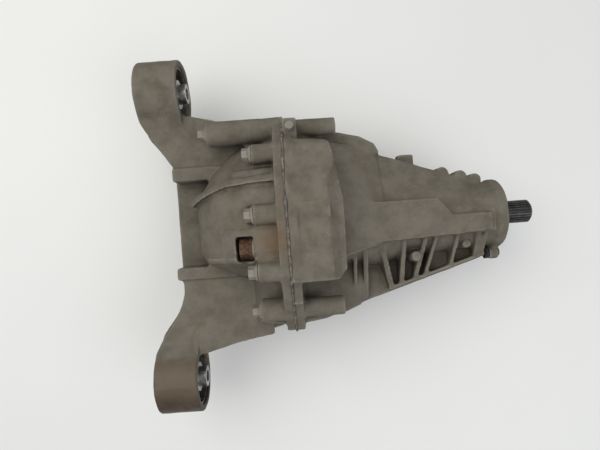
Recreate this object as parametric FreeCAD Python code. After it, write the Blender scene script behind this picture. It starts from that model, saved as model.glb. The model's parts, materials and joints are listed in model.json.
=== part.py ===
import FreeCAD, Part
import math
import os

# Rear differential gear assembly, in millimetres.
# +X runs along the pinion axis towards the spline, +Y along the output axis, +Z up.
# The origin is midway between the two ear bushes, on the pinion axis.

V = FreeCAD.Vector
X_AXIS = V(1, 0, 0)
Y_AXIS = V(0, 1, 0)
Z_AXIS = V(0, 0, 1)

# Casting split: the output axis lies in the joint face.
OUT_X = 150.0
GASKET_T = 0.6
FLANGE_T = 11.0
FLOOR_Z = -121.0

# Ears and their bushes.
EAR_Y = 181.0
EAR_R = 42.0
EAR_HALF = 26.5
BUSH_R = 34.0
SLEEVE_R = 31.5
BUSH_HALF = 23.0
INNER_R = 18.0
INNER_BORE_R = 7.1
INNER_HALF = 31.0
RUBBER_HALF = 17.0

# Arms: two flanges with a web between them.
ARM_TOP = (6.0, 17.0)
ARM_LOW = (-30.0, -20.0)
RIB_TOP = 22.0

# Dome over the ring gear, as (Y, radius) outlines about the output axis.
DOME_X = 142.0
DOME = ((-54, 62), (-36, 98), (-22, 105), (34, 106), (44, 103), (70, 86), (100, 56))
CAVITY = ((-60, 48), (-38, 80), (-24, 91.5), (46, 91.5), (62, 78), (90, 46))

# Final drive: bevel ring gear and pinion with a common apex on both axes.
RING_TEETH = 37
PINION_TEETH = 11
RING_PITCH_R = 84.0
RING_FACE = 26.0
RING_BACK_Y = 45.0
RING_BORE_R = 50.0
RING_OUTER_R = 88.0
RING_THIN = 0.72
PINION_THIN = 0.58

# Differential gears inside the case.
SIDE_TEETH = 14
SPIDER_TEETH = 10
SIDE_PITCH_R = 24.0
SIDE_FACE = 11.0
SIDE_BORE_R = 13.5
DIFF_THIN = 0.8
CROSS_PIN_R = 8.0

# Differential case.
CASE_R = 46.0
CASE_END_Y = 44.0
CASE_FLANGE_R = 68.0
CASE_FLANGE_T = 9.0
RING_BOLT_R = 59.0
RING_BOLT_COUNT = 8

# Side bearings: bore, outside, inner face and width.
SIDE_BRG_BORE = 22.0
SIDE_BRG_OUT = 38.0
SIDE_BRG_Y = 66.0
SIDE_BRG_W = 20.0
SIDE_END_Y = 112.0
SIDE_BOSS_R = 52.0
SEAL_R = 32.0
SEAL_Y = 98.0
SEAL_W = 10.0
SEAL_LIP_R = 18.5
OUTPUT_CLEAR_Y = 150.0

# Pinion shaft stations along X and their radii.
HEAD_BRG_X = 244.0
HEAD_BRG_W = 22.0
HEAD_BRG_BORE = 22.0
HEAD_BRG_OUT = 40.0
TAIL_BRG_X = 348.0
TAIL_BRG_W = 20.0
TAIL_BRG_BORE = 18.5
TAIL_BRG_OUT = 34.0
NUT_X = 368.0
NUT_W = 15.0
THREAD_R = 18.0
JOURNAL_R = 16.5
PINION_SEAL_X = 400.0
FRONT_X = 414.0
SPLINE_R = 14.3
SPLINE_ROOT_R = 13.2
SPLINE_COUNT = 27
STUB_END_X = 456.0
FRONT_R = 43.0

# Nose sections, each (X, spine low Y, spine high Y, spine top Z, outer Y on the smooth side).
NOSE_BACK = (212.0, -24.0, 21.0, 56.0, 104.0)
NOSE_FRONT = (397.0, -20.0, 6.0, 43.0, 38.0)
SPINE_RISE = 7.0

# Joint bolts as (Y, Z) of the upper half; the lower half mirrors them.
SHORT_BOLTS = ((84.0, 86.0), (17.0, 107.0), (-44.0, 104.0))
LONG_BOLTS = ((118.0, 42.0),)
LOW_BOLTS = ((-92.0, 60.0),)
BOLT_R = 5.0
BOLT_HOLE_R = 5.5
SHORT_HEAD_X = 115.0
LOW_HEAD_X = 112.0
LONG_HEAD_X = 60.0
BOLT_END_X = 190.0
DOWEL_R = 3.0
DOWELS = ((104.0, 64.0), (-101.0, -47.0))

# Oil plugs.
PLUG_Y = -19.0
PLUG_Z = 88.0
PLUG_SEAT_X = 112.0
PLUG_HEX_R = 11.0
DRAIN_X = 190.0
DRAIN_Y = -20.0
DRAIN_R = 9.0
BREATHER_X = OUT_X + 9.0
BREATHER_Y = 114.0
BREATHER_Z = 78.0
FRONT_PLUG_Y = -49.0
FRONT_PLUG_R = 5.0

CLEAR = 0.05


def mirror_z(shape):
    return shape.mirror(V(0, 0, 0), Z_AXIS)


def mirror_y(shape):
    return shape.mirror(V(0, 0, 0), Y_AXIS)


def block(x0, x1, y0, y1, z0, z1):
    return Part.makeBox(x1 - x0, y1 - y0, z1 - z0, V(x0, y0, z0))


def rod_x(radius, x0, x1, y=0.0, z=0.0):
    return Part.makeCylinder(radius, x1 - x0, V(x0, y, z), X_AXIS)


def rod_y(radius, y0, y1, x=OUT_X, z=0.0):
    return Part.makeCylinder(radius, y1 - y0, V(x, y0, z), Y_AXIS)


def rod_z(radius, z0, z1, x=OUT_X, y=0.0):
    return Part.makeCylinder(radius, z1 - z0, V(x, y, z0), Z_AXIS)


def ring_x(outer, inner, x0, x1, y=0.0, z=0.0):
    return rod_x(outer, x0, x1, y, z).cut(rod_x(inner, x0 - 1, x1 + 1, y, z))


def ring_y(outer, inner, y0, y1):
    return rod_y(outer, y0, y1).cut(rod_y(inner, y0 - 1, y1 + 1))


def prism(points, direction):
    """Extrude a closed polygon of 3D points along a vector."""
    wire = Part.makePolygon(list(points) + [points[0]])
    return Part.Face(wire).extrude(direction)


def turned_y(outline, x_centre):
    """Revolve (Y, radius) points about the line parallel to Y at x_centre."""
    first, last = outline[0][0], outline[-1][0]
    points = [V(x_centre, first, 0)]
    points += [V(x_centre, y, radius) for y, radius in outline]
    points += [V(x_centre, last, 0), V(x_centre, first, 0)]
    return Part.Face(Part.makePolygon(points)).revolve(V(x_centre, 0, 0), Y_AXIS, 360)


def turned_x(outline):
    """Revolve (X, radius) points about the X axis."""
    first, last = outline[0][0], outline[-1][0]
    points = [V(first, 0, 0)]
    points += [V(x, 0, radius) for x, radius in outline]
    points += [V(last, 0, 0), V(first, 0, 0)]
    return Part.Face(Part.makePolygon(points)).revolve(V(0, 0, 0), X_AXIS, 360)


def hexagon_x(radius, x0, x1, y, z):
    """Hexagonal bar along X; radius is measured to its corners."""
    corners = [V(x0, y + radius * math.cos(math.radians(60 * k)),
                 z + radius * math.sin(math.radians(60 * k))) for k in range(6)]
    return prism(corners, V(x1 - x0, 0, 0))


def both_halves(places):
    return [(y, z * side) for y, z in places for side in (1, -1)]


# ---------------------------------------------------------------- gears

def bevel_gear(teeth, mate_teeth, pitch_r, face, thin, back, bore_r):
    """Straight bevel gear about local Z with its apex at the origin and its back at Z = back.

    thin is the part of the nominal tooth thickness that is kept, which sets the backlash.
    """
    cone = math.atan(teeth / mate_teeth)
    module = 2 * pitch_r / teeth
    reach = pitch_r / math.sin(cone)
    along = V(math.sin(cone), 0, math.cos(cone))
    outward = V(math.cos(cone), 0, -math.sin(cone))
    addendum = 0.68 * module
    dedendum = 1.08 * module
    embed = 0.5 * module
    slope = math.tan(math.radians(24))
    half = math.pi * module / 4 * thin

    def section(scale):
        corners = []
        for depth in (addendum, -dedendum - embed):
            width = half - depth * slope if depth > 0 else half + dedendum * slope
            for side in ((1, -1) if depth > 0 else (-1, 1)):
                point = along * reach + outward * depth + Y_AXIS * (side * width)
                corners.append(point * scale)
        return Part.makePolygon(corners + [corners[0]])

    inner_scale = (reach - face) / reach
    tooth = Part.makeLoft([section(1.0), section(inner_scale)], True, True)
    root_large = along * reach - outward * dedendum
    root_small = root_large * inner_scale
    outline = [V(0, 0, root_small.z), V(root_small.x, 0, root_small.z), root_large,
               V(root_large.x, 0, back), V(0, 0, back), V(0, 0, root_small.z)]
    blank = Part.Face(Part.makePolygon(outline)).revolve(V(0, 0, 0), Z_AXIS, 360)
    copies = []
    for k in range(teeth):
        copy = tooth.copy()
        copy.rotate(V(0, 0, 0), Z_AXIS, 360.0 * k / teeth)
        copies.append(copy)
    gear = blank.fuse(copies)
    if bore_r:
        gear = gear.cut(Part.makeCylinder(bore_r, 4 * back + 50, V(0, 0, -back), Z_AXIS))
    return gear.removeSplitter()


def place_gear(gear, local_z_to, turn):
    """Turn the gear about its own axis, swing its axis to a direction and move the apex."""
    placed = gear.copy()
    placed.rotate(V(0, 0, 0), Z_AXIS, turn)
    swing = FreeCAD.Rotation(Z_AXIS, local_z_to)
    placed.Placement = FreeCAD.Placement(V(OUT_X, 0, 0), swing).multiply(placed.Placement)
    return placed


def ring_gear():
    half_pitch = 180.0 / RING_TEETH
    gear = bevel_gear(RING_TEETH, PINION_TEETH, RING_PITCH_R, RING_FACE, RING_THIN, RING_BACK_Y, RING_BORE_R)
    # Swinging local Z to +Y leaves local X along +X, where a tooth space faces the pinion.
    gear = place_gear(gear, Y_AXIS, half_pitch)
    rim = ring_y(RING_OUTER_R, RING_PITCH_R - 8, 31, RING_BACK_Y)
    backing = ring_y(RING_PITCH_R - 4, RING_BORE_R, 27, RING_BACK_Y)
    gear = gear.fuse([rim, backing])
    for k in range(RING_BOLT_COUNT):
        gear = gear.cut(ring_bolt_rod(BOLT_R, RING_BACK_Y - 14, RING_BACK_Y + 1, k))
    return gear.removeSplitter()


def ring_bolt_rod(radius, y0, y1, k):
    angle = math.radians(360.0 * (k + 0.5) / RING_BOLT_COUNT)
    return rod_y(radius, y0, y1, OUT_X + RING_BOLT_R * math.cos(angle), RING_BOLT_R * math.sin(angle))


def ring_gear_bolts():
    flange_y = RING_BACK_Y + CASE_FLANGE_T
    bolts = []
    for k in range(RING_BOLT_COUNT):
        bolts.append(ring_bolt_rod(BOLT_R, RING_BACK_Y - 14, flange_y, k))
        bolts.append(ring_bolt_rod(7.5, flange_y, flange_y + 6, k))
    return Part.makeCompound([bolts[2 * k].fuse(bolts[2 * k + 1]) for k in range(RING_BOLT_COUNT)])


def pinion_gear():
    pitch_r = RING_PITCH_R * PINION_TEETH / RING_TEETH
    gear = bevel_gear(PINION_TEETH, RING_TEETH, pitch_r, RING_FACE, PINION_THIN, RING_PITCH_R + 4, 0)
    # A tooth of the pinion points to +Y, into the tooth space of the ring gear.
    gear = gear.copy()
    gear.rotate(V(0, 0, 0), Z_AXIS, 90.0)
    gear.Placement = FreeCAD.Placement(V(OUT_X, 0, 0), FreeCAD.Rotation(Z_AXIS, X_AXIS)).multiply(gear.Placement)
    return gear


def pinion_shaft():
    start = OUT_X + RING_PITCH_R - 4
    outline = ((start, 17), (HEAD_BRG_X, 24), (HEAD_BRG_X, HEAD_BRG_BORE),
               (HEAD_BRG_X + HEAD_BRG_W, HEAD_BRG_BORE), (HEAD_BRG_X + HEAD_BRG_W, 19.5),
               (TAIL_BRG_X, 19.5), (TAIL_BRG_X, TAIL_BRG_BORE), (NUT_X, TAIL_BRG_BORE),
               (NUT_X, THREAD_R), (NUT_X + NUT_W + 3, THREAD_R), (NUT_X + NUT_W + 3, JOURNAL_R),
               (FRONT_X + 2, JOURNAL_R), (FRONT_X + 4, SPLINE_ROOT_R), (STUB_END_X - 2, SPLINE_ROOT_R),
               (STUB_END_X, SPLINE_ROOT_R - 2))
    shaft = turned_x(outline).fuse(pinion_gear())
    teeth = []
    width = math.pi * SPLINE_R / SPLINE_COUNT
    for k in range(SPLINE_COUNT):
        tooth = block(FRONT_X + 8, STUB_END_X - 2.5, -width / 2, width / 2, SPLINE_ROOT_R - 1, SPLINE_R)
        tooth.rotate(V(0, 0, 0), X_AXIS, 360.0 * k / SPLINE_COUNT)
        teeth.append(tooth)
    shaft = shaft.fuse(teeth)
    return shaft.fuse(rod_x(SPLINE_R, FRONT_X + 3, FRONT_X + 8)).removeSplitter()


def side_gear(side):
    spider_r = SIDE_PITCH_R * SPIDER_TEETH / SIDE_TEETH
    back = spider_r + 8.5
    gear = bevel_gear(SIDE_TEETH, SPIDER_TEETH, SIDE_PITCH_R, SIDE_FACE, DIFF_THIN, back, 0)
    gear = place_gear(gear, Y_AXIS, 90.0 + 180.0 / SIDE_TEETH)
    gear = gear.fuse(rod_y(17.0, back - 1, 43.0))
    gear = gear.cut(rod_y(SIDE_BORE_R, -1, 60))
    return gear if side > 0 else gear.mirror(V(OUT_X, 0, 0), Y_AXIS)


def spider_gear(side):
    spider_r = SIDE_PITCH_R * SPIDER_TEETH / SIDE_TEETH
    gear = bevel_gear(SPIDER_TEETH, SIDE_TEETH, spider_r, SIDE_FACE, DIFF_THIN, SIDE_PITCH_R + 8.5, 0)
    gear = gear.copy()
    gear.rotate(V(0, 0, 0), Z_AXIS, 90.0)
    gear.translate(V(OUT_X, 0, 0))
    gear = gear.cut(rod_z(CROSS_PIN_R + CLEAR, -1, 60))
    return gear if side > 0 else mirror_z(gear)


# ---------------------------------------------------------------- differential case

def differential_case():
    flange_y = RING_BACK_Y
    body = rod_y(CASE_R, -CASE_END_Y, flange_y)
    body = body.fuse(rod_y(RING_BORE_R, 30, flange_y))
    body = body.fuse(rod_y(CASE_FLANGE_R, flange_y, flange_y + CASE_FLANGE_T))
    for side in (1, -1):
        shoulder = SIDE_BRG_Y * side
        end = (SIDE_BRG_Y + SIDE_BRG_W) * side
        start = (CASE_END_Y - 4) * side
        body = body.fuse(rod_y(29.0, min(start, shoulder), max(start, shoulder)))
        body = body.fuse(rod_y(SIDE_BRG_BORE, min(shoulder, end), max(shoulder, end)))
    hollow = rod_y(30.0, -28, 28).fuse(block(OUT_X - 21, OUT_X + 21, -28, 28, -34, 34))
    body = body.cut(hollow)
    body = body.cut(rod_y(17.0 + CLEAR, -120, 120))
    body = body.cut(rod_z(CROSS_PIN_R, -60, 60))
    body = body.cut(block(OUT_X - 60, OUT_X + 60, -21, 21, -19, 19))
    body = body.cut(Part.makeCylinder(2.5, 60, V(OUT_X - 30, 0, 40), X_AXIS))
    for k in range(RING_BOLT_COUNT):
        body = body.cut(ring_bolt_rod(BOLT_R, flange_y - 1, flange_y + CASE_FLANGE_T + 1, k))
    return body.removeSplitter()


def cross_pin():
    pin = rod_z(CROSS_PIN_R, -45.5, 45.5)
    return pin.cut(Part.makeCylinder(2.5, 60, V(OUT_X - 30, 0, 40), X_AXIS))


def roll_pin():
    return Part.makeCylinder(2.5, 26, V(OUT_X - 13, 0, 40), X_AXIS)


def side_washers():
    inner = SIDE_PITCH_R * SPIDER_TEETH / SIDE_TEETH + 8.5 + CLEAR
    washer = ring_y(25.0, 17.0 + CLEAR, inner, 28.0)
    return Part.makeCompound([washer, mirror_y(washer)])


def spider_washers():
    inner = SIDE_PITCH_R + 8.5 + CLEAR
    washer = rod_z(15.0, inner, 34.0).cut(rod_z(CROSS_PIN_R, 0, 60))
    return Part.makeCompound([washer, mirror_z(washer)])


# ---------------------------------------------------------------- bearings and seals

def roller_sizes(bore, outer):
    middle = (bore + outer) / 2
    roller = (outer - bore) * 0.26
    return middle, roller


def bearing_x(bore, outer, x0, width):
    """Inner race, rollers with cage, and outer race of a roller bearing along X."""
    middle, roller = roller_sizes(bore, outer)
    inner_race = ring_x(middle - roller, bore, x0, x0 + width)
    outer_race = ring_x(outer, middle + roller, x0 + 1, x0 + width - 1)
    cage = ring_x(middle + 1.2, middle - 1.2, x0 + 2, x0 + width - 2)
    count = int(math.pi * middle / roller * 0.8)
    rollers = []
    for k in range(count):
        angle = 2 * math.pi * k / count
        rollers.append(rod_x(roller - CLEAR, x0 + 3, x0 + width - 3,
                             middle * math.cos(angle), middle * math.sin(angle)))
    return inner_race, cage.fuse(rollers), outer_race


def bearing_y(side):
    """The same bearing turned onto the output axis, on one side of the case."""
    parts = bearing_x(SIDE_BRG_BORE, SIDE_BRG_OUT, SIDE_BRG_Y, SIDE_BRG_W)
    turned = []
    for shape in parts:
        copy = shape.copy()
        copy.rotate(V(0, 0, 0), Z_AXIS, 90.0)
        copy.translate(V(OUT_X, 0, 0))
        turned.append(copy if side > 0 else mirror_y(copy))
    return turned


def output_seal(side):
    seal = ring_y(SEAL_R, SEAL_LIP_R + 5, SEAL_Y, SEAL_Y + SEAL_W)
    lip = ring_y(SEAL_LIP_R + 5, SEAL_LIP_R, SEAL_Y + 1, SEAL_Y + 4)
    seal = seal.fuse(lip)
    return seal if side > 0 else mirror_y(seal)


def pinion_seal():
    body = ring_x(32.0, JOURNAL_R + 4, PINION_SEAL_X, PINION_SEAL_X + 10)
    return body.fuse(ring_x(JOURNAL_R + 4, JOURNAL_R + CLEAR, PINION_SEAL_X + 4, PINION_SEAL_X + 7))


def pinion_nut():
    nut = hexagon_x(27.0, NUT_X, NUT_X + NUT_W, 0, 0)
    return nut.cut(rod_x(THREAD_R, NUT_X - 1, NUT_X + NUT_W + 1))


def crush_spacer():
    end = HEAD_BRG_X + HEAD_BRG_W
    return ring_x(23.5, 20.0, end, TAIL_BRG_X)


# ---------------------------------------------------------------- castings

def flange_face(x, grow):
    """Face in the joint plane that runs round all the joint bolts."""
    upper = list(LONG_BOLTS) + list(SHORT_BOLTS) + list(LOW_BOLTS) + [(-110.0, 34.0)]
    corners = upper + [(y, -z) for y, z in reversed(upper)]
    points = [V(x, y, z) for y, z in corners]
    wire = Part.makePolygon(points + [points[0]])
    return Part.Face(wire).makeOffset2D(grow)


def joint_bolt_places():
    return (both_halves(SHORT_BOLTS), both_halves(LONG_BOLTS), both_halves(LOW_BOLTS))


def cut_cavity(shape, x_centre):
    """Hollow for the gears, the side bearing seats and the output seal seats."""
    tools = [turned_y(CAVITY, x_centre), turned_y(CAVITY, OUT_X)]
    for side in (1, -1):
        seat_end = (SIDE_BRG_Y + SIDE_BRG_W) * side
        seal_end = (SIDE_END_Y + 2) * side
        tools.append(rod_y(SIDE_BRG_OUT, min(40 * side, seat_end), max(40 * side, seat_end)))
        tools.append(rod_y(SEAL_LIP_R + 5, min(seat_end, seal_end) - 1, max(seat_end, seal_end) + 1))
        inner = SEAL_Y * side
        outside = OUTPUT_CLEAR_Y * side
        tools.append(rod_y(SEAL_R, min(inner, outside), max(inner, outside)))
    for tool in tools:
        shape = shape.cut(tool)
    return shape


def smooth_edge(points, z):
    curve = Part.BSplineCurve()
    curve.interpolate([V(x, y, z) for x, y in points])
    return curve.toShape()


def arm_plate(z0, z1, grow, rib_y):
    """One flange of the arm on the +Y side; its long edges are smooth concave curves."""
    back = [(12 - grow, rib_y), (5 - grow, 94), (-8 - grow, 114), (-22 - grow, 134), (-EAR_HALF, 152)]
    front = [(EAR_HALF, 150), (46, 146), (72, 139), (106, 133), (OUT_X - FLANGE_T, 128)]
    edges = [smooth_edge(back, z0), Part.makeLine(V(-EAR_HALF, 152, z0), V(-EAR_HALF, EAR_Y, z0)),
             Part.makeLine(V(-EAR_HALF, EAR_Y, z0), V(EAR_HALF, EAR_Y, z0)),
             Part.makeLine(V(EAR_HALF, EAR_Y, z0), V(EAR_HALF, 150, z0)), smooth_edge(front, z0)]
    end = V(OUT_X - FLANGE_T, 128, z0)
    edges.append(Part.makeLine(end, V(end.x, rib_y, z0)))
    edges.append(Part.makeLine(V(end.x, rib_y, z0), V(12 - grow, rib_y, z0)))
    return Part.Face(Part.Wire(edges)).extrude(V(0, 0, z1 - z0))


def arm(rib_y):
    top = arm_plate(ARM_TOP[0], ARM_TOP[1], 0.0, rib_y)
    low = arm_plate(ARM_LOW[0], ARM_LOW[1], 7.0, rib_y)
    web_points = [V(-8, 160, ARM_LOW[1]), V(14, 160, ARM_LOW[1]), V(44, 122, ARM_LOW[1]),
                  V(100, 112, ARM_LOW[1]), V(100, rib_y, ARM_LOW[1]), V(24, rib_y, ARM_LOW[1]),
                  V(6, 118, ARM_LOW[1])]
    web = prism(web_points, V(0, 0, ARM_TOP[0] - ARM_LOW[1]))
    # Saddle that falls from the ear's crown to the arm's top flange, and its twin below.
    crown = [V(-EAR_HALF, EAR_Y, EAR_R - 1), V(-EAR_HALF, EAR_Y - 14, EAR_R - 3),
             V(-EAR_HALF, EAR_Y - 30, EAR_R - 14), V(-EAR_HALF, 132, ARM_TOP[1] - 1),
             V(-EAR_HALF, 132, ARM_LOW[0] + 1), V(-EAR_HALF, EAR_Y - 22, -EAR_R + 6),
             V(-EAR_HALF, EAR_Y, -EAR_R + 1)]
    saddle = prism(crown, V(2 * EAR_HALF, 0, 0))
    trim = arm_plate(-EAR_R - 1, EAR_R + 1, 0.0, rib_y)
    saddle = saddle.common(trim)
    ear = rod_x(EAR_R, -EAR_HALF, EAR_HALF, EAR_Y)
    return top.fuse([low, web, saddle, ear])


def rear_dome():
    dome = turned_y(DOME, DOME_X)
    dome = dome.common(block(0, OUT_X, -130, 130, -130, 130))
    sides = rod_y(SIDE_BOSS_R, -SIDE_END_Y, SIDE_END_Y).common(block(0, OUT_X, -130, 130, -130, 130))
    return dome.fuse(sides)


def dome_ribs():
    """Stiffening ribs that run over the dome, above and below."""
    tall = prism([V(34, 33, 0), V(34, 41, 0), V(60, 51, 0), V(84, 58, 0), V(OUT_X - 2, 61, 0),
                  V(OUT_X - 2, 53, 0), V(84, 50, 0), V(60, 43, 0)], V(0, 0, 116))
    tall = tall.common(turned_y([(y, radius + 8) for y, radius in DOME], DOME_X))
    short = block(54, OUT_X - 2, -34, -28, 0, 112)
    short = short.common(turned_y([(y, radius + 6) for y, radius in DOME], DOME_X))
    shoulder = block(90, OUT_X - 2, 62, 68, 0, 112)
    shoulder = shoulder.common(turned_y([(y, radius + 4) for y, radius in DOME], DOME_X))
    upper = [tall, short, shoulder]
    return upper + [mirror_z(rib) for rib in upper]


def rear_feet():
    feet = []
    for y in (-44.0, 17.0):
        feet.append(block(96, OUT_X - FLANGE_T, y - 9, y + 9, FLOOR_Z, -88))
    return feet


def rear_casing():
    joint_x = OUT_X - GASKET_T / 2
    short, long, low = joint_bolt_places()
    parts = [flange_face(OUT_X - FLANGE_T, 13.0).extrude(V(FLANGE_T - GASKET_T / 2, 0, 0))]
    parts += [rod_x(11.0, SHORT_HEAD_X, joint_x, y, z) for y, z in short]
    parts += [rod_x(15.0, LONG_HEAD_X, joint_x, y, z) for y, z in long]
    parts += [rod_x(13.5, LOW_HEAD_X, joint_x, y, z) for y, z in low]
    parts += [arm(84.0), mirror_y(arm(55.0))]
    # Low plate between the two ribs, which run from its rear edge into the dome.
    parts.append(block(6, 90, -55, 84, -26, -11))
    parts.append(block(9, 92, 67, 84, ARM_LOW[0], RIB_TOP))
    parts.append(block(7, 118, -55, -40, ARM_LOW[0], RIB_TOP))
    parts += dome_ribs()
    parts += rear_feet()
    casing = rear_dome().fuse(parts)
    casing = cut_cavity(casing, DOME_X + 1)
    # Thick pad inside the dome that carries the filler plug, with its open pocket.
    pad = block(74, OUT_X - FLANGE_T, -40, 2, 66, 112)
    pad = pad.common(turned_y([(y, radius + 2) for y, radius in DOME], DOME_X))
    casing = casing.fuse(pad)
    casing = casing.cut(block(92, PLUG_SEAT_X, PLUG_Y - 13.5, PLUG_Y + 13.5, PLUG_Z - 13.5, 140))
    casing = casing.cut(rod_x(8.0, PLUG_SEAT_X - 1, joint_x + 1, PLUG_Y, PLUG_Z))
    for head_x, places in ((SHORT_HEAD_X, short), (LONG_HEAD_X, long), (LOW_HEAD_X, low)):
        for y, z in places:
            casing = casing.cut(rod_x(BOLT_HOLE_R, head_x - 1, OUT_X + 1, y, z))
            casing = casing.cut(rod_x(12.5, head_x - 22, head_x, y, z))
    for side in (1, -1):
        casing = casing.cut(rod_x(BUSH_R, -60, 60, EAR_Y * side))
    for y, z in DOWELS:
        casing = casing.cut(rod_x(DOWEL_R, OUT_X - 8, OUT_X + 1, y, z))
    trim = block(joint_x, joint_x + 200, -200, 200, -200, 200)
    return casing.cut(trim).removeSplitter()


def box_bulge():
    """Flat-topped bulge of the main housing beside the joint, with a slanting front edge."""
    bulge = prism([V(OUT_X, -57, 0), V(OUT_X, 100, 0), V(197, 95, 0), V(209, 28, 0),
                   V(208, -50, 0), V(201, -57, 0)], V(0, 0, 118))
    roof = prism([V(OUT_X, -70, 0), V(OUT_X, -70, 117), V(194, -70, 114), V(209, -70, 101), V(214, -70, 60),
                  V(214, -70, 0)], V(0, 190, 0))
    bulge = bulge.common(roof)
    # The roof falls away towards the +Y side.
    fall = prism([V(0, 46, 140), V(0, 46, 118), V(0, 101, 86), V(0, 140, 86), V(0, 140, 140)], V(300, 0, 0))
    bulge = bulge.cut(fall)
    return [bulge, mirror_z(bulge)]


def nose_section(x, low_y, high_y, top_z, outer_y, edge_z=12):
    points = [V(x, low_y, top_z), V(x, high_y, top_z), V(x, outer_y, edge_z), V(x, outer_y, -edge_z),
              V(x, high_y, -top_z), V(x, low_y, -top_z)]
    return Part.makePolygon(points + [points[0]])


def spine_plate():
    """Raised flat on the nose's spine, above and below, that narrows towards the front."""
    outline = [V(204, -25, -80), V(204, 22, -80), V(326, 22, -80), V(343, 2, -80), V(390, 2, -80),
               V(390, -18, -80), V(346, -21, -80)]
    top = SPINE_RISE + NOSE_BACK[3]
    low = SPINE_RISE + NOSE_FRONT[3]
    wedge = prism([V(200, -60, top), V(397, -60, low), V(397, -60, -low), V(200, -60, -top)], V(0, 120, 0))
    return prism(outline, V(0, 0, 160)).common(wedge)


def shoulder():
    """Faceted body between the joint flange and the root of the nose."""
    back = (OUT_X + FLANGE_T - 2, -50.0, 42.0, 92.0, 110.0)
    front = (264.0, -24.0, 21.0, 53.0, 92.0)
    return Part.makeLoft([nose_section(*back, 44), nose_section(*front, 12)], True, True)


def nose_body():
    body = Part.makeLoft([nose_section(*NOSE_BACK), nose_section(*NOSE_FRONT)], True, True)
    body = body.fuse([spine_plate(), shoulder()])
    barrel = turned_x(((200, 56), (262, 54), (290, 47), (FRONT_X - 18, 40)))
    neck = turned_x(((FRONT_X - 20, 40), (FRONT_X - 12, FRONT_R - 2), (FRONT_X - 12, FRONT_R),
                     (FRONT_X - 2, FRONT_R), (FRONT_X, FRONT_R - 2)))
    return body.fuse([barrel, neck])


def rib_reach(x):
    """Y of the nose's outer edge on the ribbed side."""
    return -108.0 + (x - 212.0) * 0.3


def spine_top(x):
    """Height of the nose's spine at a station."""
    back_x, front_x = NOSE_BACK[0], NOSE_FRONT[0]
    return NOSE_BACK[3] + (x - back_x) * (NOSE_FRONT[3] - NOSE_BACK[3]) / (front_x - back_x)


def cross_rib(x_spine, x_edge, thickness):
    """Rib from the spine down to the outer edge, above and below the web."""
    edge_y = rib_reach(x_edge) + 3
    top = spine_top(x_spine) - 2
    run = V(x_edge - x_spine, edge_y + 20, 0)
    base = V(x_spine - thickness / 2, -20, 0)
    points = [base + V(0, 0, -top), base + V(0, 0, top), base + run + V(0, 0, 14), base + run + V(0, 0, -14)]
    return prism(points, V(thickness, 0, 0))


def ribbed_side():
    web = prism([V(206, -106, -5), V(232, -102, -5), V(250, rib_reach(250), -5), V(390, rib_reach(390), -5),
                 V(390, 0, -5), V(206, 0, -5)], V(0, 0, 10))
    edge = []
    for side in (1, -1):
        lip = prism([V(268, rib_reach(268) + 9, 0), V(268, rib_reach(268) + 5, 0),
                     V(390, rib_reach(390) + 4, 0), V(390, rib_reach(390) + 8, 0)], V(0, 0, 18 * side))
        edge.append(lip)
    wall = prism([V(206, -102, -20), V(232, -100, -20), V(241, -92, -20), V(241, -20, -20), V(206, -20, -20)],
                 V(0, 0, 40))
    ribs = [wall, cross_rib(226, 226, 5), cross_rib(238, 240, 6), cross_rib(256, 273, 7), cross_rib(286, 284, 6),
            cross_rib(312, 301, 6), cross_rib(325, 314, 5), cross_rib(351, 347, 5), cross_rib(376, 379, 6),
            cross_rib(386, 386, 5)]
    studs = [Part.makeCone(9, 6, 44, V(299, -44, 0), Z_AXIS), Part.makeCone(8, 5, 34, V(363, -34, 0), Z_AXIS)]
    studs += [mirror_z(stud) for stud in studs]
    return [web] + edge + ribs + studs


def smooth_side_lugs():
    lug = block(295, 316, 40, 84, -22, -6)
    bumps = [rod_z(8.0, -14, 14, x, y) for x, y in ((346, 55), (368, 49), (386, 44))]
    return [lug] + bumps


def front_feet():
    feet = []
    for y in (-44.0, 17.0):
        feet.append(block(OUT_X, 208, y - 9, y + 9, FLOOR_Z, -84))
    return feet


def main_dome():
    half = block(OUT_X, 400, -130, 130, -130, 130)
    dome = turned_y([(y, radius - 6) for y, radius in DOME], OUT_X).common(half)
    sides = rod_y(SIDE_BOSS_R, -SIDE_END_Y, SIDE_END_Y).common(half)
    return dome.fuse(sides)


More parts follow.
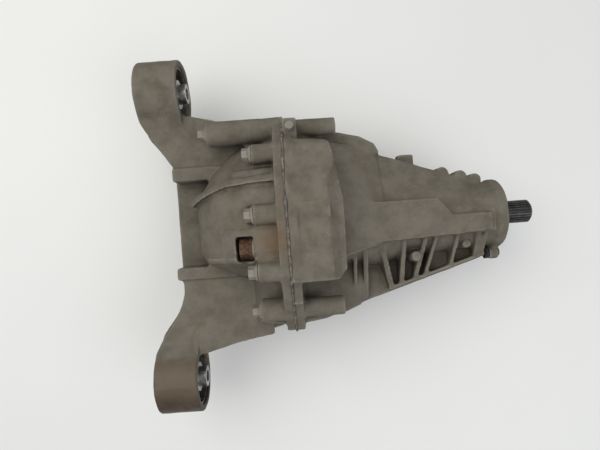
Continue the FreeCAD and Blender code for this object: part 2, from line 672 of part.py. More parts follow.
def main_housing():
    joint_x = OUT_X + GASKET_T / 2
    short, long, low = joint_bolt_places()
    parts = [flange_face(joint_x, 13.0).extrude(V(FLANGE_T - GASKET_T / 2, 0, 0))]
    parts += [rod_x(11.0, joint_x, 196, y, z) for y, z in short]
    parts += [rod_x(10.5, joint_x, 213, y, z) for y, z in long]
    parts += [rod_x(11.0, joint_x, 208, y, z) for y, z in low]
    # Skirt that ties the long bosses to the side wall.
    parts.append(prism([V(OUT_X, 96, -20), V(OUT_X, 120, -20), V(212, 116, -20), V(244, 108, -20),
                        V(262, 98, -20), V(268, 86, -20), V(190, 60, -20)], V(0, 0, 40)))
    parts.append(prism([V(OUT_X, -96, -24), V(OUT_X, -110, -24), V(212, -108, -24), V(232, -100, -24),
                        V(236, -40, -24), V(190, -50, -24)], V(0, 0, 48)))
    parts += box_bulge()
    parts += ribbed_side()
    parts += smooth_side_lugs()
    parts += front_feet()
    parts.append(nose_body())
    parts.append(main_dome())
    # Lug on the joint flange that carries the breather.
    parts.append(block(joint_x, OUT_X + FLANGE_T + 6, 100, 124, 38, BREATHER_Z))
    parts.append(block(joint_x, OUT_X + FLANGE_T, -84, -68, 76, 90))
    parts.append(rod_x(8.5, FRONT_X - 16, FRONT_X - 4, FRONT_PLUG_Y, 4))
    housing = parts[0].fuse(parts[1:])
    housing = cut_cavity(housing, OUT_X)
    # Pinion bore, from the head bearing seat to the seal seat.
    for radius, x0, x1 in ((32, 190, HEAD_BRG_X), (HEAD_BRG_OUT, HEAD_BRG_X - 6, HEAD_BRG_X + HEAD_BRG_W),
                           (29, HEAD_BRG_X, TAIL_BRG_X), (TAIL_BRG_OUT, TAIL_BRG_X, PINION_SEAL_X - 4),
                           (29, PINION_SEAL_X - 5, PINION_SEAL_X), (32, PINION_SEAL_X, FRONT_X + 1)):
        housing = housing.cut(rod_x(radius, x0, x1))
    for y, z in short + long + low:
        housing = housing.cut(rod_x(BOLT_R, 140, BOLT_END_X, y, z))
    for y, z in DOWELS:
        housing = housing.cut(rod_x(DOWEL_R, 140, OUT_X + 8, y, z))
    housing = housing.cut(rod_z(DRAIN_R, -140, -60, DRAIN_X, DRAIN_Y))
    housing = housing.cut(rod_z(3.0, BREATHER_Z - 14, BREATHER_Z + 1, BREATHER_X, BREATHER_Y))
    housing = housing.cut(rod_x(FRONT_PLUG_R, FRONT_X - 17, FRONT_X - 3, FRONT_PLUG_Y, 4))
    trim = block(joint_x - 200, joint_x, -200, 200, -200, 200)
    return housing.cut(trim).removeSplitter()


# ---------------------------------------------------------------- fasteners and small parts

def flange_bolt(head_x, end_x, y, z):
    shank = rod_x(BOLT_R, head_x, end_x, y, z)
    collar = Part.makeCone(8.0, 10.5, 3.0, V(head_x - 3, y, z), X_AXIS)
    head = hexagon_x(7.5, head_x - 10, head_x - 2, y, z)
    return shank.fuse([collar, head])


def joint_bolts():
    short, long, low = joint_bolt_places()
    nodes = {"short_joint_bolts": [flange_bolt(SHORT_HEAD_X, BOLT_END_X - 4, y, z) for y, z in short]}
    nodes["short_joint_bolts"] += [flange_bolt(LOW_HEAD_X, BOLT_END_X - 4, y, z) for y, z in low]
    nodes["long_joint_bolts"] = [flange_bolt(LONG_HEAD_X, BOLT_END_X - 4, y, z) for y, z in long]
    return {name: Part.makeCompound(bolts) for name, bolts in nodes.items()}


def dowels():
    return Part.makeCompound([rod_x(DOWEL_R, OUT_X - 7, OUT_X + 7, y, z) for y, z in DOWELS])


def joint_sealant():
    bead = flange_face(OUT_X - GASKET_T / 2, 13.4).extrude(V(GASKET_T, 0, 0))
    bead = cut_cavity(bead, OUT_X)
    short, long, low = joint_bolt_places()
    for y, z in short + long + low:
        bead = bead.cut(rod_x(BOLT_HOLE_R, 140, 160, y, z))
    bead = bead.cut(block(140, 160, -SIDE_END_Y - 30, SIDE_END_Y + 30, -SEAL_R, SEAL_R))
    for y, z in DOWELS:
        bead = bead.cut(rod_x(DOWEL_R, 140, 160, y, z))
    return bead


def filler_plug():
    head = hexagon_x(PLUG_HEX_R, PLUG_SEAT_X - 16, PLUG_SEAT_X - 5, PLUG_Y, PLUG_Z)
    collar = rod_x(12.5, PLUG_SEAT_X - 5, PLUG_SEAT_X - 2, PLUG_Y, PLUG_Z)
    return head.fuse([collar, rod_x(8.0, PLUG_SEAT_X - 2, PLUG_SEAT_X + 16, PLUG_Y, PLUG_Z)])


def filler_washer():
    return ring_x(12.0, 8.0, PLUG_SEAT_X - 2, PLUG_SEAT_X, PLUG_Y, PLUG_Z)


def drain_plug():
    plug = rod_z(DRAIN_R, -104, -88, DRAIN_X, DRAIN_Y)
    socket = Part.Face(Part.makePolygon([V(DRAIN_X + 4.6 * math.cos(math.radians(60 * k)),
                                           DRAIN_Y + 4.6 * math.sin(math.radians(60 * k)), -105)
                                         for k in range(7)])).extrude(V(0, 0, 8))
    return plug.cut(socket)


def breather():
    stem = rod_z(3.0, BREATHER_Z - 14, BREATHER_Z, BREATHER_X, BREATHER_Y)
    collar = rod_z(5.5, BREATHER_Z, BREATHER_Z + 3, BREATHER_X, BREATHER_Y)
    return stem.fuse([collar, rod_z(4.5, BREATHER_Z + 3, BREATHER_Z + 8, BREATHER_X, BREATHER_Y)])


def front_plug():
    """Rubber blanking plug on the lower side of the nose, beside the front flange."""
    back = FRONT_X - 16
    cap = rod_x(FRONT_PLUG_R + 2.5, back - 4, back, FRONT_PLUG_Y, 4)
    return cap.fuse(rod_x(FRONT_PLUG_R, back, FRONT_X - 2, FRONT_PLUG_Y, 4))


def bush_sleeve(side):
    return ring_x(BUSH_R, SLEEVE_R, -BUSH_HALF, BUSH_HALF, EAR_Y * side)


def bush_rubber(side):
    rubber = ring_x(SLEEVE_R, INNER_R, -RUBBER_HALF, RUBBER_HALF, EAR_Y * side)
    for turn in (1, -1):
        centre = EAR_Y * side + turn * (SLEEVE_R + INNER_R) / 2
        void = block(-40, 40, centre - 3.2, centre + 3.2, -13, 13)
        rubber = rubber.cut(void)
    return rubber


def bush_inner(side):
    y = EAR_Y * side
    core = rod_x(INNER_R, -RUBBER_HALF - 4, RUBBER_HALF + 4, y)
    core = core.fuse(rod_x(12.5, -INNER_HALF, INNER_HALF, y))
    return core.cut(rod_x(INNER_BORE_R, -60, 60, y))


# ---------------------------------------------------------------- assembly

def build():
    nodes = {
        "rear_casing": rear_casing(),
        "main_housing": main_housing(),
        "joint_sealant": joint_sealant(),
        "joint_dowels": dowels(),
        "filler_plug": filler_plug(),
        "filler_plug_washer": filler_washer(),
        "drain_plug": drain_plug(),
        "breather": breather(),
        "front_rubber_plug": front_plug(),
        "ring_gear": ring_gear(),
        "ring_gear_bolts": ring_gear_bolts(),
        "pinion_shaft": pinion_shaft(),
        "pinion_nut": pinion_nut(),
        "pinion_spacer": crush_spacer(),
        "pinion_seal": pinion_seal(),
        "differential_case": differential_case(),
        "cross_pin": cross_pin(),
        "cross_pin_roll_pin": roll_pin(),
        "side_gear_washers": side_washers(),
        "spider_gear_washers": spider_washers(),
        "upper_spider_gear": spider_gear(1),
        "lower_spider_gear": spider_gear(-1),
    }
    nodes.update(joint_bolts())
    for name, side in (("left", 1), ("right", -1)):
        nodes[name + "_side_gear"] = side_gear(side)
        nodes[name + "_output_seal"] = output_seal(side)
        nodes[name + "_bush_outer_sleeve"] = bush_sleeve(side)
        nodes[name + "_bush_rubber"] = bush_rubber(side)
        nodes[name + "_bush_inner_sleeve"] = bush_inner(side)
        pieces = bearing_y(side)
        for piece, shape in zip(("inner_race", "rollers", "outer_race"), pieces):
            nodes[name + "_side_bearing_" + piece] = shape
    for name, bore, outer, x0, width in (
            ("head", HEAD_BRG_BORE, HEAD_BRG_OUT, HEAD_BRG_X, HEAD_BRG_W),
            ("tail", TAIL_BRG_BORE, TAIL_BRG_OUT, TAIL_BRG_X, TAIL_BRG_W)):
        pieces = bearing_x(bore, outer, x0, width)
        for piece, shape in zip(("inner_race", "rollers", "outer_race"), pieces):
            nodes["pinion_" + name + "_bearing_" + piece] = shape
    return nodes


os.makedirs("parts", exist_ok=True)
for node, solid in build().items():
    solid.exportStep("parts/" + node + ".step")
    print(node, len(solid.Solids), solid.isValid(), round(solid.Volume))
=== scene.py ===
import json
import math

import bmesh
import bpy
import numpy as np
from mathutils import Matrix, Vector, noise


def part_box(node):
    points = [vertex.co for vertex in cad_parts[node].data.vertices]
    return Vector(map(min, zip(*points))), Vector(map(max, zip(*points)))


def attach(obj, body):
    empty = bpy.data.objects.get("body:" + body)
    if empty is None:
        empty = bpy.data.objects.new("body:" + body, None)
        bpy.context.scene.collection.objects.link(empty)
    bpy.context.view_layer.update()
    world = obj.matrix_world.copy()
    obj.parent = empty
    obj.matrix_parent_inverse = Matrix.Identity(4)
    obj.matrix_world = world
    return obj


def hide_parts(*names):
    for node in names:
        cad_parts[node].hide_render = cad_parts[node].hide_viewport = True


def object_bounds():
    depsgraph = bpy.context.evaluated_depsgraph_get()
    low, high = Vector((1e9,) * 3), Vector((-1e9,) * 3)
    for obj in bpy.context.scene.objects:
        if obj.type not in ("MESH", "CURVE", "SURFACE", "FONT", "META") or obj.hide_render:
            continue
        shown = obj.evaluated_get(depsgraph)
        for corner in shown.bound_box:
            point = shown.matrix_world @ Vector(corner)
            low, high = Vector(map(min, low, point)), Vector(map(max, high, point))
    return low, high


# Rear differential: two dusty sand castings with steel and rubber fittings.
# Everything is in metres in the CAD's frame; mm() turns millimetres into it.

PALE_FLOOR = (0.74, 0.74, 0.715)


def mm(value):
    return value * 0.001


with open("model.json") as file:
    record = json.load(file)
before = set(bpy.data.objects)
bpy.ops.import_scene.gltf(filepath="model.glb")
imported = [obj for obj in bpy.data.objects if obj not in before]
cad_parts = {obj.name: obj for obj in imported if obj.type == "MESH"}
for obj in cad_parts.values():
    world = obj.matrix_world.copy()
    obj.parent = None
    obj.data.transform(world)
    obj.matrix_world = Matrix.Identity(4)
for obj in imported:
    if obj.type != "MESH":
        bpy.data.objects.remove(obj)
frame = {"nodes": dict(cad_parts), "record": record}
nodes = frame["nodes"]
cad_low, cad_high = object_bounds()


def middle(node):
    low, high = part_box(node)
    return (low + high) / 2


# Places read from the frame.
LEFT_EAR = middle("left_bush_outer_sleeve")
RIGHT_EAR = middle("right_bush_outer_sleeve")
PLUG = middle("filler_plug")
FLOOR_Z = cad_low.z


# ---------------------------------------------------------------- mesh helpers

def new_object(name, mesh):
    piece = bpy.data.objects.new(name, mesh)
    bpy.context.scene.collection.objects.link(piece)
    return piece


def object_from_bmesh(name, bm):
    mesh = bpy.data.meshes.new(name)
    bm.to_mesh(mesh)
    bm.free()
    return new_object(name, mesh)


def smooth_faces(mesh):
    mesh.polygons.foreach_set("use_smooth", [True] * len(mesh.polygons))


def bake_modifiers(piece):
    """Replace a piece's mesh by what its modifiers make of it."""
    graph = bpy.context.evaluated_depsgraph_get()
    graph.update()
    mesh = bpy.data.meshes.new_from_object(piece.evaluated_get(graph))
    piece.modifiers.clear()
    old = piece.data
    piece.data = mesh
    bpy.data.meshes.remove(old)
    return piece


def add_block(bm, low, high):
    low, high = Vector(low), Vector(high)
    size = high - low
    place = Matrix.Translation((low + high) / 2)
    bmesh.ops.create_cube(bm, size=1.0, matrix=place @ Matrix.Diagonal((*size, 1.0)))


def add_ribbon(bm, points, width, height):
    """Closed rib that follows points; width is across it, height is how far it goes down."""
    rings = []
    for i, point in enumerate(points):
        before = points[max(i - 1, 0)]
        after = points[min(i + 1, len(points) - 1)]
        along = (Vector(after) - Vector(before)).normalized()
        side = along.cross(Vector((0, 0, 1))).normalized() * width / 2
        top = Vector(point)
        drop = Vector((0, 0, -height))
        corners = (top + side, top - side, top - side + drop, top + side + drop)
        rings.append([bm.verts.new(corner) for corner in corners])
    for a, b in zip(rings, rings[1:]):
        for k in range(4):
            bm.faces.new((a[k], a[(k + 1) % 4], b[(k + 1) % 4], b[k]))
    bm.faces.new(rings[0][::-1])
    bm.faces.new(rings[-1])


# ---------------------------------------------------------------- materials

class Shader:
    """A Principled material with short ways to add procedural nodes."""

    def __init__(self, name, roughness, metallic=0.0):
        self.material = bpy.data.materials.new(name)
        self.material.use_nodes = True
        self.tree = self.material.node_tree
        self.bsdf = self.tree.nodes["Principled BSDF"]
        self.bsdf.inputs["Metallic"].default_value = metallic
        self.bsdf.inputs["Roughness"].default_value = roughness
        self.place = self.node("ShaderNodeTexCoord").outputs["Object"]
        self.geometry = self.node("ShaderNodeNewGeometry")

    def node(self, kind, **settings):
        made = self.tree.nodes.new(kind)
        for key, value in settings.items():
            setattr(made, key, value)
        return made

    def link(self, source, target):
        self.tree.links.new(source, target)

    def noise(self, scale, detail=4.0, roughness=0.55, distortion=0.0):
        made = self.node("ShaderNodeTexNoise")
        made.inputs["Scale"].default_value = scale
        made.inputs["Detail"].default_value = detail
        made.inputs["Roughness"].default_value = roughness
        made.inputs["Distortion"].default_value = distortion
        self.link(self.place, made.inputs["Vector"])
        return made.outputs["Fac"]

    def cells(self, scale, feature="F1"):
        made = self.node("ShaderNodeTexVoronoi", feature=feature)
        made.inputs["Scale"].default_value = scale
        self.link(self.place, made.inputs["Vector"])
        return made.outputs["Distance"]

    def ramp(self, source, low, high, out_low=0.0, out_high=1.0):
        made = self.node("ShaderNodeMapRange", clamp=True, interpolation_type="SMOOTHSTEP")
        for key, value in zip(("From Min", "From Max", "To Min", "To Max"), (low, high, out_low, out_high)):
            made.inputs[key].default_value = value
        self.link(source, made.inputs["Value"])
        return made.outputs["Result"]

    def math(self, operation, a, b):
        made = self.node("ShaderNodeMath", operation=operation)
        for slot, value in zip(made.inputs, (a, b)):
            if isinstance(value, (int, float)):
                slot.default_value = value
            else:
                self.link(value, slot)
        return made.outputs[0]

    def mix(self, factor, a, b):
        made = self.node("ShaderNodeMix", data_type="RGBA")
        if isinstance(factor, (int, float)):
            made.inputs["Factor"].default_value = factor
        else:
            self.link(factor, made.inputs["Factor"])
        for slot, value in ((made.inputs[6], a), (made.inputs[7], b)):
            if isinstance(value, tuple):
                slot.default_value = (*value, 1.0)
            else:
                self.link(value, slot)
        return made.outputs[2]

    def axis(self, vector, component):
        made = self.node("ShaderNodeSeparateXYZ")
        self.link(vector, made.inputs[0])
        return made.outputs[component]

    def bump(self, layers):
        """Stack bump layers, each (height, strength, distance in metres)."""
        normal = None
        for height, strength, distance in layers:
            made = self.node("ShaderNodeBump")
            made.inputs["Strength"].default_value = strength
            made.inputs["Distance"].default_value = distance
            self.link(height, made.inputs["Height"])
            if normal is not None:
                self.link(normal, made.inputs["Normal"])
            normal = made.outputs["Normal"]
        self.link(normal, self.bsdf.inputs["Normal"])

    def corner_shade(self, distance, low, high):
        """Ambient-occlusion mask for painted shade: 1 in corners and pockets, 0 in the open."""
        made = self.node("ShaderNodeAmbientOcclusion", samples=6, only_local=True)
        made.inputs["Distance"].default_value = distance
        return self.ramp(made.outputs["AO"], low, high, 1.0, 0.0)

    def colour(self, source):
        self.link(source, self.bsdf.inputs["Base Color"])

    def rough(self, source):
        self.link(source, self.bsdf.inputs["Roughness"])


def cast_aluminium(name, stained=False):
    """Old sand casting: brownish grey oxide, pale road dust on top, and painted shade darkening the corners
    and pockets.
    """
    shader = Shader(name, 0.8, 0.0)
    shader.bsdf.inputs["Specular IOR Level"].default_value = 0.25
    broad = shader.noise(14, 5, 0.6, 0.4)
    patches = shader.noise(46, 6, 0.65)
    grain = shader.noise(420, 4, 0.7)
    oxide = shader.mix(shader.ramp(broad, 0.3, 0.7), (0.090, 0.077, 0.056), (0.114, 0.100, 0.076))
    oxide = shader.mix(shader.ramp(patches, 0.38, 0.66, 0.0, 0.7), oxide, (0.131, 0.116, 0.091))
    up = shader.axis(shader.geometry.outputs["Normal"], "Z")
    settled = shader.math("MULTIPLY", shader.ramp(up, 0.25, 0.95), shader.ramp(patches, 0.25, 0.7))
    dusty = shader.mix(shader.math("MULTIPLY", settled, 0.5), oxide, (0.168, 0.150, 0.119))
    # Painted shade: ambient occlusion darkens the corners and pockets of the casting towards near-black.
    painted_shade = shader.corner_shade(mm(16), 0.35, 0.85)
    dust_and_painted_shade = shader.mix(shader.math("MULTIPLY", painted_shade, 0.78), dusty, (0.029, 0.024, 0.017))
    edge = shader.ramp(shader.geometry.outputs["Pointiness"], 0.508, 0.575)
    worn = shader.mix(shader.math("MULTIPLY", edge, 0.75), dust_and_painted_shade, (0.230, 0.211, 0.176))
    speck = shader.ramp(shader.noise(1100, 2, 0.5), 0.64, 0.70)
    speck = shader.math("MULTIPLY", speck, shader.ramp(shader.noise(60, 3, 0.5), 0.42, 0.6))
    speckled = shader.mix(shader.math("MULTIPLY", speck, 0.55), worn, (0.294, 0.275, 0.237))
    dots = shader.ramp(shader.cells(170), 0.02, 0.09, 1.0, 0.0)
    dots = shader.math("MULTIPLY", dots, shader.ramp(shader.noise(38, 2, 0.5), 0.5, 0.62))
    final = shader.mix(shader.math("MULTIPLY", dots, 0.5), speckled, (0.032, 0.027, 0.020))
    tint = shader.ramp(shader.noise(24, 3, 0.6, 0.8), 0.58, 0.72)
    final = shader.mix(shader.math("MULTIPLY", tint, 0.3), final, (0.102, 0.064, 0.035))
    if stained:
        final = oil_stain(shader, rust_bleed(shader, final))
    shader.colour(final)
    shader.bump([(broad, 0.25, mm(1.5)), (grain, 0.35, mm(0.5)), (shader.cells(260), 0.22, mm(0.35))])
    return shader.material


def rust_bleed(shader, base):
    """Brown film that spreads from the filler plug towards the joint."""
    reach = shader.math("SUBTRACT", shader.axis(shader.place, "X"), PLUG.x + mm(24))
    across = shader.math("SUBTRACT", shader.axis(shader.place, "Y"), PLUG.y + mm(8))
    squares = [shader.math("MULTIPLY", offset, offset) for offset in (reach, across)]
    distance = shader.math("SQRT", shader.math("ADD", *squares), 0.0)
    raggedness = shader.math("MULTIPLY", shader.noise(55, 4, 0.6), mm(26))
    ragged = shader.math("ADD", distance, raggedness)
    film = shader.ramp(ragged, mm(20), mm(42), 0.55, 0.0)
    return shader.mix(film, base, (0.135, 0.085, 0.045))


def oil_stain(shader, base):
    """Dark oily brown that soaks the end of the right ear."""
    y = shader.axis(shader.place, "Y")
    ragged = shader.math("MULTIPLY", shader.noise(30, 4, 0.6), mm(22))
    reach = shader.math("ADD", y, ragged)
    soaked = shader.ramp(reach, RIGHT_EAR.y + mm(44), RIGHT_EAR.y + mm(38), 0.0, 1.0)
    low = shader.ramp(reach, RIGHT_EAR.y + mm(16), RIGHT_EAR.y - mm(18), 0.0, 1.0)
    brown = shader.mix(low, (0.105, 0.083, 0.055), (0.042, 0.026, 0.017))
    brown = shader.mix(shader.ramp(shader.noise(90, 4, 0.6), 0.45, 0.7, 0.0, 0.5), brown, (0.09, 0.06, 0.04))
    rough = shader.math("SUBTRACT", 0.8, shader.math("MULTIPLY", soaked, 0.3))
    shader.rough(rough)
    return shader.mix(soaked, base, brown)


def dusty_steel(name):
    shader = Shader(name, 0.62, 0.0)
    fine = shader.noise(300, 4, 0.6)
    patches = shader.ramp(shader.noise(120, 4, 0.6), 0.35, 0.65)
    base = shader.mix(patches, (0.106, 0.092, 0.073), (0.191, 0.175, 0.142))
    up = shader.axis(shader.geometry.outputs["Normal"], "Z")
    base = shader.mix(shader.math("MULTIPLY", shader.ramp(up, 0.2, 0.9), 0.5), base, (0.238, 0.218, 0.178))
    # Painted shade: ambient occlusion darkens the corners and pockets of the steel fittings.
    painted_shade = shader.math("MULTIPLY", shader.corner_shade(mm(5), 0.3, 0.9), 0.7)
    base = shader.mix(painted_shade, base, (0.033, 0.028, 0.020))
    shader.colour(base)
    shader.bump([(fine, 0.3, mm(0.3))])
    return shader.material


def rusty_steel(name):
    shader = Shader(name, 0.85, 0.0)
    flakes = shader.noise(260, 6, 0.7, 0.6)
    base = shader.mix(shader.ramp(flakes, 0.35, 0.65), (0.030, 0.015, 0.008), (0.110, 0.052, 0.021))
    patches = shader.ramp(shader.noise(90, 4, 0.6), 0.55, 0.75, 0.0, 0.7)
    base = shader.mix(patches, base, (0.132, 0.088, 0.052))
    shader.colour(base)
    shader.bump([(flakes, 0.8, mm(0.7)), (shader.noise(700, 3, 0.6), 0.5, mm(0.2))])
    return shader.material


def black_rubber(name):
    shader = Shader(name, 0.72, 0.0)
    shader.bsdf.inputs["Specular IOR Level"].default_value = 0.3
    patches = shader.ramp(shader.noise(130, 4, 0.6), 0.4, 0.7)
    base = shader.mix(patches, (0.008, 0.008, 0.008), (0.03, 0.028, 0.025))
    shader.colour(base)
    shader.bump([(shader.noise(500, 3, 0.6), 0.25, mm(0.2))])
    return shader.material


def black_steel(name):
    shader = Shader(name, 0.38, 0.35)
    patches = shader.ramp(shader.noise(150, 4, 0.6), 0.4, 0.7)
    base = shader.mix(patches, (0.012, 0.012, 0.012), (0.045, 0.043, 0.04))
    edge = shader.ramp(shader.geometry.outputs["Pointiness"], 0.53, 0.62)
    base = shader.mix(shader.math("MULTIPLY", edge, 0.5), base, (0.16, 0.155, 0.15))
    shader.colour(base)
    shader.rough(shader.ramp(shader.noise(220, 3, 0.6), 0.3, 0.7, 0.28, 0.5))
    shader.bump([(shader.noise(600, 3, 0.6), 0.15, mm(0.15))])
    return shader.material


def bare_steel(name, tone=0.42, roughness=0.32):
    shader = Shader(name, roughness, 1.0)
    dark = (tone * 0.55, tone * 0.54, tone * 0.52)
    light = (tone * 1.1, tone * 1.08, tone * 1.05)
    base = shader.mix(shader.ramp(shader.noise(180, 5, 0.65), 0.35, 0.7), dark, light)
    shader.colour(base)
    shader.rough(shader.ramp(shader.noise(260, 3, 0.6), 0.3, 0.7, roughness - 0.08, roughness + 0.14))
    shader.bump([(shader.noise(520, 3, 0.6), 0.12, mm(0.12))])
    return shader.material


def cast_iron(name):
    shader = Shader(name, 0.5, 0.7)
    patches = shader.ramp(shader.noise(160, 5, 0.65), 0.35, 0.7)
    base = shader.mix(patches, (0.05, 0.05, 0.05), (0.13, 0.13, 0.125))
    shader.colour(base)
    shader.bump([(shader.noise(400, 4, 0.7), 0.3, mm(0.3))])
    return shader.material


def old_sealant(name):
    shader = Shader(name, 0.7, 0.0)
    patches = shader.ramp(shader.noise(120, 4, 0.6), 0.4, 0.65)
    base = shader.mix(patches, (0.066, 0.058, 0.045), (0.172, 0.155, 0.125))
    shader.colour(base)
    shader.bump([(shader.noise(300, 4, 0.6), 0.4, mm(0.4))])
    return shader.material


def floor_paint(name):
    shader = Shader(name, 0.55, 0.0)
    shade = tuple(c * 0.97 for c in PALE_FLOOR)
    shader.colour(shader.mix(shader.noise(6, 3, 0.5), PALE_FLOOR, shade))
    shader.bump([(shader.noise(700, 2, 0.5), 0.02, mm(0.2))])
    return shader.material


# ---------------------------------------------------------------- castings

SKIN_VOXEL = mm(1.7)
SKIN_ROUNDS = 5
SKIN_TRIANGLES = 170000
BORE_KEEP = mm(37)


def smoothing_weights(piece, keep):
    """Vertex group that lets the casting skin round off, but keeps machined places sharper."""
    group = piece.vertex_groups.new(name="skin")
    sharp, loose = [], []
    for vertex in piece.data.vertices:
        (sharp if keep(vertex.co) else loose).append(vertex.index)
    group.add(loose, 1.0, "REPLACE")
    group.add(sharp, 0.12, "REPLACE")
    return group.name


def uneven_skin(mesh, keep):
    """Move the skin in and out by a few tenths of a millimetre."""
    places = np.empty(len(mesh.vertices) * 3, np.float32)
    mesh.vertices.foreach_get("co", places)
    places = places.reshape(-1, 3)
    normals = np.empty(len(mesh.vertices) * 3, np.float32)
    mesh.vertex_normals.foreach_get("vector", normals)
    waves = np.empty(len(places), np.float32)
    for i, place in enumerate(map(Vector, places)):
        wave = noise.noise(place * 55) * mm(0.45) + noise.noise(place * 210) * mm(0.16)
        waves[i] = wave * (0.15 if keep(place) else 1.0)
    places += normals.reshape(-1, 3) * waves[:, None]
    mesh.vertices.foreach_set("co", places.ravel())
    mesh.update()


def near_ear_bore(point):
    for ear in (LEFT_EAR, RIGHT_EAR):
        if (Vector((point.y, point.z)) - Vector((ear.y, ear.z))).length < BORE_KEEP:
            return True
    return False


def cast_skin(name, node, extra, keep):
    """Remake a CAD casting with rounded cast edges, filled corners and a slightly uneven skin."""
    bm = bmesh.new()
    bm.from_mesh(nodes[node].data)
    extra(bm)
    piece = object_from_bmesh(name, bm)
    remesh = piece.modifiers.new("voxels", "REMESH")
    remesh.mode = "VOXEL"
    remesh.voxel_size = SKIN_VOXEL
    bake_modifiers(piece)
    group = smoothing_weights(piece, keep)
    smooth = piece.modifiers.new("round", "SMOOTH")
    smooth.factor = 0.5
    smooth.iterations = SKIN_ROUNDS
    smooth.vertex_group = group
    bake_modifiers(piece)
    uneven_skin(piece.data, keep)
    count = sum(len(p.vertices) - 2 for p in piece.data.polygons)
    if count > SKIN_TRIANGLES:
        thin = piece.modifiers.new("thin", "DECIMATE")
        thin.ratio = SKIN_TRIANGLES / count
        bake_modifiers(piece)
    smooth_faces(piece.data)
    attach(piece, "housing")
    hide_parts(node)
    return piece


EAR_HALF = mm(26)
EAR_CROWN_LOW = mm(40)
EAR_CROWN_TOP = mm(42.6)
PARTING_HALF = mm(1.2)
RIDGE_WIDTH = mm(3.6)
RIDGE_HEIGHT = mm(9)


def rear_extras(bm):
    """Cast details that the plain CAD solid leaves out of the rear casing."""
    for ear in (LEFT_EAR, RIGHT_EAR):
        # Parting line that runs along the crown of the ear.
        add_block(bm, (-EAR_HALF, ear.y - PARTING_HALF, EAR_CROWN_LOW),
                  (EAR_HALF, ear.y + PARTING_HALF, EAR_CROWN_TOP))


def front_extras(bm):
    """Cast details that the plain CAD solid leaves out of the main housing."""
    # Ridge along the front edge of the box bulge, the one that crosses it, and the spine's edge.
    edge = [(208.5, -48, 104), (209.5, 28, 104), (206, 46, 105.5), (201, 80, 100.5), (198.5, 93, 92.5)]
    cross = [(158, 25, 119), (194, 25, 116), (208, 25, 104.5)]
    spine = [(204, 22, 64.5), (326, 21.5, 53.5), (343, 1.5, 51.5), (388, 1.5, 46.5)]
    for line in (edge, cross, spine):
        points = [(mm(x), mm(y), mm(z)) for x, y, z in line]
        add_ribbon(bm, points, RIDGE_WIDTH, RIDGE_HEIGHT)


def outline_of(node):
    """Outer outline of a flat, convex node in the YZ plane, as an ordered list of (y, z)."""
    places = sorted({(round(v.co.y, 6), round(v.co.z, 6)) for v in nodes[node].data.vertices})
    turn = []
    for order in (places, places[::-1]):
        chain = []
        for place in order:
            while len(chain) > 1:
                a, b = chain[-2], chain[-1]
                if (b[0] - a[0]) * (place[1] - a[1]) - (b[1] - a[1]) * (place[0] - a[0]) > 0:
                    break
                chain.pop()
            chain.append(place)
        turn += chain[:-1]
    return turn


def evenly_spaced(outline, step):
    """Points at even steps round a closed outline, with the direction of travel."""
    points = []
    left = 0.0
    for a, b in zip(outline, outline[1:] + outline[:1]):
        along = Vector(b) - Vector(a)
        while left < along.length:
            points.append((Vector(a) + along.normalized() * left, along.normalized()))
            left += step
        left -= along.length
    return points


def sealant_bead():
    """Old sealant that squeezed out of the joint in an uneven bead."""
    low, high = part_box("joint_sealant")
    centre_x = (low.x + high.x) / 2
    bm = bmesh.new()
    rings = []
    for place, along in evenly_spaced(outline_of("joint_sealant"), mm(1.2)):
        outward = Vector((along.y, -along.x))
        seed = Vector((0, place.x, place.y))
        swell = 0.5 + 0.8 * noise.noise(seed * 48) + 0.35 * noise.noise(seed * 170)
        reach = mm(0.4) + mm(1.5) * max(swell, 0.0)
        width = mm(0.6) + mm(1.2) * max(swell, 0.0)
        lean = noise.noise(seed * 90 + Vector((4, 0, 0))) * mm(1.0)
        ring = []
        for k in range(8):
            angle = 2 * math.pi * k / 8
            flat = place + outward * (math.cos(angle) * reach)
            ring.append(bm.verts.new((centre_x + lean + math.sin(angle) * width, flat.x, flat.y)))
        rings.append(ring)
    for a, b in zip(rings, rings[1:] + rings[:1]):
        for k in range(8):
            bm.faces.new((a[k], a[(k + 1) % 8], b[(k + 1) % 8], b[k]))
    bmesh.ops.recalc_face_normals(bm, faces=bm.faces)
    bead = object_from_bmesh("joint_sealant_bead", bm)
    smooth_faces(bead.data)
    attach(bead, "housing")
    give_material(bead, materials["sealant"])


FITTING_BEVEL = mm(0.6)


def bevel(node, width):
    """Break the sharp edges of a CAD fitting."""
    modifier = nodes[node].modifiers.new("edges", "BEVEL")
    modifier.width = width
    modifier.segments = 2
    modifier.limit_method = "ANGLE"
    modifier.angle_limit = math.radians(35)


# ---------------------------------------------------------------- run

materials = {
    "cast": cast_aluminium("cast_aluminium_skin"),
    "cast_stained": cast_aluminium("cast_aluminium_stained", stained=True),
    "dusty_steel": dusty_steel("dusty_steel_skin"),
    "rusty_steel": rusty_steel("rusty_steel_skin"),
    "black_rubber": black_rubber("black_rubber_skin"),
    "black_steel": black_steel("black_steel_skin"),
    "bush_steel": bare_steel("bush_steel_skin", 0.5, 0.36),
    "gear_steel": bare_steel("gear_steel_skin", 0.42, 0.3),
    "cast_iron": cast_iron("cast_iron_skin"),
    "sealant": old_sealant("sealant_skin"),
}

slot_of = {entry["node"]: entry["material_slot"] for entry in frame["record"]["subparts"]}


def give_material(piece, material):
    piece.data.materials.clear()
    piece.data.materials.append(material)


for node, piece in nodes.items():
    slot = slot_of[node]
    give_material(piece, materials["cast" if slot == "cast_aluminium" else slot])

rear = cast_skin("rear_casing_skin", "rear_casing", rear_extras, near_ear_bore)
give_material(rear, materials["cast_stained"])
front = cast_skin("main_housing_skin", "main_housing", front_extras, lambda point: False)
give_material(front, materials["cast"])


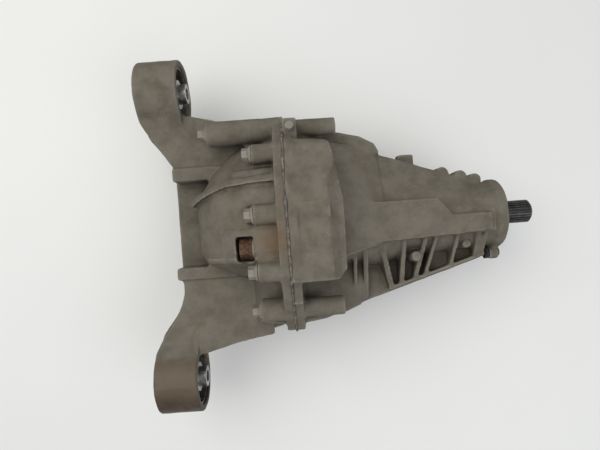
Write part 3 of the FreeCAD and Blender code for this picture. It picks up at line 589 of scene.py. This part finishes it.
sealant_bead()
for fitting in ("short_joint_bolts", "long_joint_bolts", "filler_plug", "drain_plug", "breather",
                "front_rubber_plug", "left_bush_inner_sleeve", "right_bush_inner_sleeve",
                "left_bush_outer_sleeve", "right_bush_outer_sleeve", "pinion_nut"):
    bevel(fitting, FITTING_BEVEL)


# ---------------------------------------------------------------- camera, light, floor

CAMERA_CENTRE = (mm(163), mm(3))
CAMERA_HEIGHT = mm(603)
CAMERA_ROLL = math.radians(-4.2)
SENSOR = 36.0
LENS = SENSOR * 470 / 600


def make_camera():
    data = bpy.data.cameras.new("camera")
    data.sensor_width = SENSOR
    data.lens = LENS
    data.clip_start = 0.01
    camera = bpy.data.objects.new("camera", data)
    camera.location = (*CAMERA_CENTRE, CAMERA_HEIGHT)
    camera.rotation_euler = (0, 0, CAMERA_ROLL)
    bpy.context.scene.collection.objects.link(camera)
    bpy.context.scene.camera = camera


def area_light(name, place, target, size, power, tone):
    data = bpy.data.lights.new(name, "AREA")
    data.shape = "DISK"
    data.size = size
    data.energy = power
    data.color = tone
    lamp = bpy.data.objects.new(name, data)
    lamp.location = place
    lamp.rotation_euler = (Vector(target) - Vector(place)).to_track_quat("-Z", "Y").to_euler()
    bpy.context.scene.collection.objects.link(lamp)


def make_room():
    bm = bmesh.new()
    bmesh.ops.create_grid(bm, x_segments=2, y_segments=2, size=4.0)
    floor = object_from_bmesh("floor", bm)
    floor.location = (0.15, 0, FLOOR_Z)
    give_material(floor, floor_paint("floor_skin"))
    world = bpy.data.worlds.new("room")
    world.use_nodes = True
    background = world.node_tree.nodes["Background"]
    background.inputs["Color"].default_value = (0.95, 0.97, 1.0, 1.0)
    background.inputs["Strength"].default_value = 0.6
    bpy.context.scene.world = world
    area_light("window", (-0.45, 0.45, 1.4), (0.15, 0, 0), 1.5, 15, (1.0, 0.985, 0.95))
    area_light("fill", (0.9, -0.7, 1.2), (0.2, 0, 0), 1.4, 7, (0.95, 0.97, 1.0))


make_camera()
make_room()
bpy.context.scene.view_settings.view_transform = "Standard"
